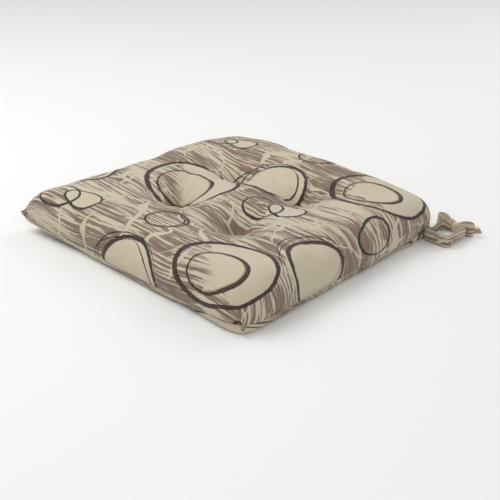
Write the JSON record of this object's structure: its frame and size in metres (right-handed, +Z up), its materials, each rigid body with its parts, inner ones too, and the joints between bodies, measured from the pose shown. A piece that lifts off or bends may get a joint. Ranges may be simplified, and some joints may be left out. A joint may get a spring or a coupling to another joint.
{
  "type": "chair seat pad",
  "caption": "Square tufted seat pad with a printed cotton cover over a fibre filling, and a tied pair of tape ties at each rear corner.",
  "frame": {"origin": "middle of the underside, on the seat", "axes": "+Z up, +X to the right seen from the front, +Y to the chair's back"},
  "size_m": [0.5064, 0.4694, 0.066],
  "materials": {
    "printed_cotton": "matt printed plain weave",
    "printed_tape": "matt printed plain weave",
    "fibre": "soft bonded fibre",
    "thread": "matt spun thread",
    "twine": "matt twisted twine",
    "label_satin": "soft satin"
  },
  "bodies": {
    "pad": {"top_panel": "printed_cotton", "bottom_panel": "printed_cotton", "fibre_block": "fibre", "edge_seam_thread": "thread", "closing_stitches": "thread", "tuft_twine_front_left": "twine", "tuft_twine_front_right": "twine", "tuft_twine_rear_left": "twine", "tuft_twine_rear_right": "twine", "care_label": "label_satin"},
    "right_ties": {"right_tie_root": "printed_tape", "right_tie_outer": "printed_tape", "right_tie_inner": "printed_tape", "right_bow": "printed_tape"},
    "left_ties": {"left_tie_root": "printed_tape", "left_tie_outer": "printed_tape", "left_tie_inner": "printed_tape", "left_bow": "printed_tape"}
  },
  "joints": [
    {"name": "right_ties_swing", "type": "hinge", "parent": "pad", "child": "right_ties", "pos_m": [0.19859, 0.19859, 0.006], "axis": [0, 0, 1], "range_deg": [0, 60]},
    {"name": "left_ties_swing", "type": "hinge", "parent": "pad", "child": "left_ties", "pos_m": [-0.19859, 0.19859, 0.006], "axis": [0, 0, 1], "range_deg": [-60, 0]}
  ]
}
